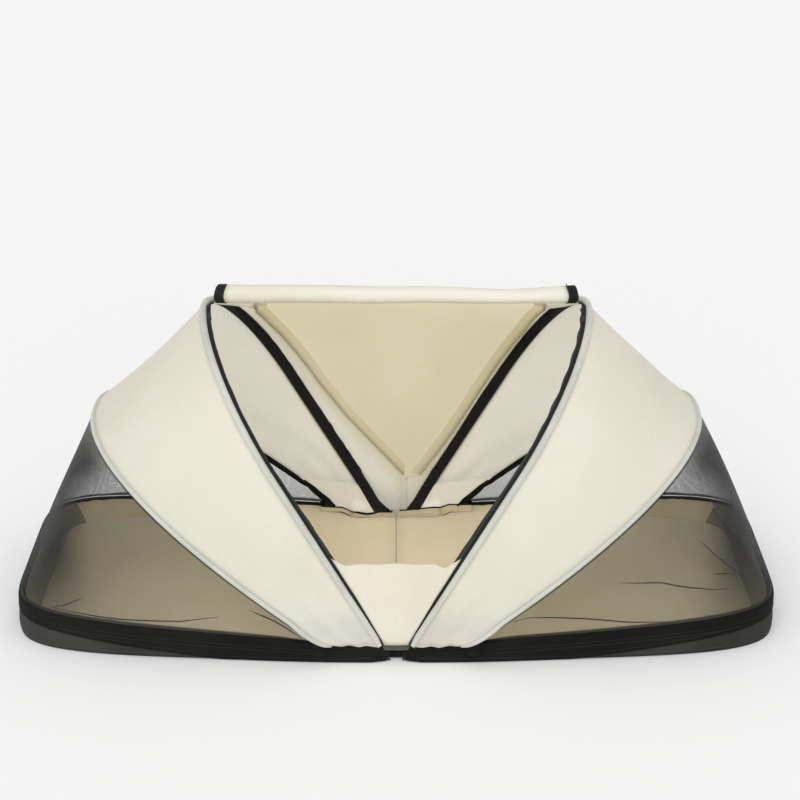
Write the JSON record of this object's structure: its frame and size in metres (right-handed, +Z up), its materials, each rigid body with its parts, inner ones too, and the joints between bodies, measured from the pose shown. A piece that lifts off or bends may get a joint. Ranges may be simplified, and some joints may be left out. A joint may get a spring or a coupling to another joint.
{
  "type": "baby travel tent",
  "caption": "Folding baby travel tent with a rigid-rimmed base, hinged hoops, cloth shells, mosquito-net sides, a rolled-up front door and a split padded mattress.",
  "frame": {"origin": "middle of the base on the floor", "axes": "+X along the tent's length to the right as seen from the open front door, +Z up; the front door faces -Y"},
  "size_m": [1.2, 0.5952, 0.5183],
  "materials": {
    "floor_cloth": "coated woven polyester, dull",
    "wall_cloth": "coated woven polyester, dull",
    "hem_cloth": "woven polyester sleeve, matt",
    "spring_steel": "drawn spring wire",
    "rivet_steel": "turned, bright",
    "mattress_cloth": "brushed woven cover over foam",
    "shell_cloth": "fine woven polyester, matt",
    "door_cloth": "fine woven polyester, matt",
    "lining_cloth": "fine woven polyester, matt",
    "mosquito_net": "fine black mesh",
    "piping": "woven bias tape, matt",
    "zip_tape": "woven tape with coil teeth",
    "zip_slider": "black, satin",
    "moulded_plastic": "moulded, satin"
  },
  "bodies": {
    "spine": {"front_hub": "moulded_plastic", "rear_hub": "moulded_plastic", "front_hub_pin_left": "rivet_steel", "front_hub_pin_right": "rivet_steel", "rear_hub_pin_left": "rivet_steel", "rear_hub_pin_right": "rivet_steel", "floor_fold_strip": "floor_cloth", "rear_door": "door_cloth", "rear_door_lining": "lining_cloth", "front_lower_panel": "shell_cloth", "rolled_door": "door_cloth", "door_zip_tape_left": "zip_tape", "door_zip_tape_right": "zip_tape"},
    "base_left": {"base_rod_left": "spring_steel", "base_hem_left": "hem_cloth", "base_wall_left": "wall_cloth", "base_floor_left": "floor_cloth", "mattress_left": "mattress_cloth", "side_net_left": "mosquito_net", "lower_hoop_clip_front_left": "moulded_plastic", "lower_hoop_clip_rear_left": "moulded_plastic", "lower_front_pin_left": "rivet_steel", "lower_rear_pin_left": "rivet_steel"},
    "upper_hoop_left": {"upper_hoop_rod_left": "spring_steel", "upper_hoop_piping_left": "piping", "shell_left": "shell_cloth", "front_zip_left": "zip_tape", "rear_zip_left": "zip_tape", "front_zip_slider_left": "zip_slider", "rear_zip_slider_left": "zip_slider"},
    "lower_hoop_left": {"lower_hoop_rod_left": "spring_steel", "lower_hoop_piping_left": "piping"},
    "base_right": {"base_rod_right": "spring_steel", "base_hem_right": "hem_cloth", "base_wall_right": "wall_cloth", "base_floor_right": "floor_cloth", "mattress_right": "mattress_cloth", "side_net_right": "mosquito_net", "lower_hoop_clip_front_right": "moulded_plastic", "lower_hoop_clip_rear_right": "moulded_plastic", "lower_front_pin_right": "rivet_steel", "lower_rear_pin_right": "rivet_steel"},
    "upper_hoop_right": {"upper_hoop_rod_right": "spring_steel", "upper_hoop_piping_right": "piping", "shell_right": "shell_cloth", "front_zip_right": "zip_tape", "rear_zip_right": "zip_tape", "front_zip_slider_right": "zip_slider", "rear_zip_slider_right": "zip_slider"},
    "lower_hoop_right": {"lower_hoop_rod_right": "spring_steel", "lower_hoop_piping_right": "piping"}
  },
  "joints": [
    {"name": "base_left_fold", "type": "hinge", "parent": "spine", "child": "base_left", "pos_m": [-0.036, 0, 0.03], "axis": [0, 1, 0], "range_deg": [0, 85], "deforming": ["floor_fold_strip", "rear_door", "rear_door_lining", "front_lower_panel", "rolled_door", "door_zip_tape_left", "door_zip_tape_right"]},
    {"name": "upper_hoop_left_fold", "type": "hinge", "parent": "base_left", "child": "upper_hoop_left", "pos_m": [-0.036, 0, 0.03], "axis": [0, -1, 0], "range_deg": [0, 53.1], "deforming": ["shell_left"]},
    {"name": "lower_hoop_left_fold", "type": "hinge", "parent": "base_left", "child": "lower_hoop_left", "pos_m": [-0.118, 0, 0.034], "axis": [0, -1, 0], "range_deg": [0, 32.6], "deforming": ["side_net_left"]},
    {"name": "base_right_fold", "type": "hinge", "parent": "spine", "child": "base_right", "pos_m": [0.036, 0, 0.03], "axis": [0, -1, 0], "range_deg": [0, 85]},
    {"name": "upper_hoop_right_fold", "type": "hinge", "parent": "base_right", "child": "upper_hoop_right", "pos_m": [0.036, 0, 0.03], "axis": [0, 1, 0], "range_deg": [0, 53.1], "deforming": ["shell_right"]},
    {"name": "lower_hoop_right_fold", "type": "hinge", "parent": "base_right", "child": "lower_hoop_right", "pos_m": [0.118, 0, 0.034], "axis": [0, 1, 0], "range_deg": [0, 32.6], "deforming": ["side_net_right"]}
  ],
  "couplings": [
    {"joint": "base_right_fold", "follows": "base_left_fold", "ratio": 1},
    {"joint": "upper_hoop_left_fold", "follows": "base_left_fold", "ratio": 0.62471},
    {"joint": "lower_hoop_left_fold", "follows": "base_left_fold", "ratio": 0.38353},
    {"joint": "upper_hoop_right_fold", "follows": "base_left_fold", "ratio": 0.62471},
    {"joint": "lower_hoop_right_fold", "follows": "base_left_fold", "ratio": 0.38353}
  ]
}
